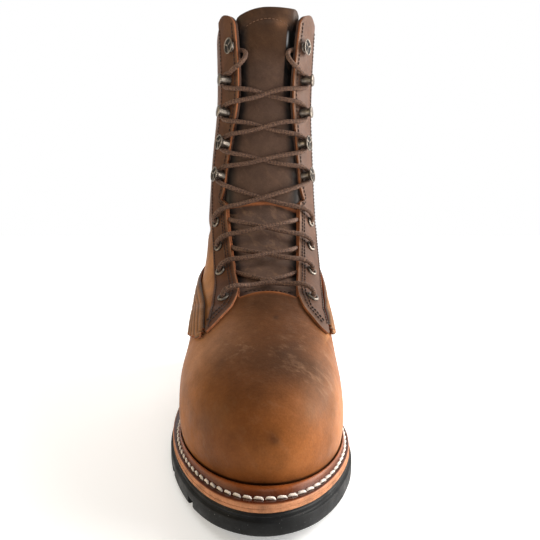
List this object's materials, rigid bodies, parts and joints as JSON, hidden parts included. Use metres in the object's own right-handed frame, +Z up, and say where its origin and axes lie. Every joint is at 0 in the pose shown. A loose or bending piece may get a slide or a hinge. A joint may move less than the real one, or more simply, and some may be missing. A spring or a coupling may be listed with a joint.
{
  "type": "work boot",
  "caption": "Tall plain-toe leather work boot with a hollow upper, padded tongue, laced throat with eyelets and hooks, stitched welt and lugged rubber sole with a separate heel.",
  "frame": {"origin": "on the floor, under the middle of the sole's bounding box", "axes": "+Z up, -Y towards the toe, +X towards the medial side of the right foot"},
  "size_m": [0.121, 0.305, 0.3182],
  "materials": {
    "upper_leather": "waxed brown leather, soft gloss",
    "tongue_leather": "dark grained leather",
    "welt_leather": "mahogany edge-dyed leather",
    "midsole_tan": "raw tan edge",
    "rubber": "matte black",
    "facing_leather": "waxed brown leather, raw tan cut edges",
    "nickel": "antique nickel",
    "lace": "braided round cord, flecked brown",
    "insole_board": "matte fibre"
  },
  "bodies": {
    "root": {"outsole": "rubber", "heel": "rubber", "midsole": "midsole_tan", "welt": "welt_leather", "insole": "insole_board", "upper": "upper_leather", "tongue": "tongue_leather", "eyestay_lateral": "facing_leather", "eyestay_medial": "facing_leather", "heel_foxing": "facing_leather", "eyelet_1_lateral": "nickel", "eyelet_1_medial": "nickel", "eyelet_2_lateral": "nickel", "eyelet_2_medial": "nickel", "eyelet_3_lateral": "nickel", "eyelet_3_medial": "nickel", "eyelet_4_lateral": "nickel", "eyelet_4_medial": "nickel", "hook_1_lateral": "nickel", "hook_1_medial": "nickel", "hook_2_lateral": "nickel", "hook_2_medial": "nickel", "hook_3_lateral": "nickel", "hook_3_medial": "nickel", "hook_4_lateral": "nickel", "hook_4_medial": "nickel", "hook_5_lateral": "nickel", "hook_5_medial": "nickel", "lace_bar": "lace", "lace_crossing_1": "lace", "lace_crossing_2": "lace", "lace_crossing_3": "lace", "lace_crossing_4": "lace", "lace_crossing_5": "lace", "lace_crossing_6": "lace", "lace_end_lateral": "lace", "lace_end_medial": "lace"}
  },
  "joints": []
}
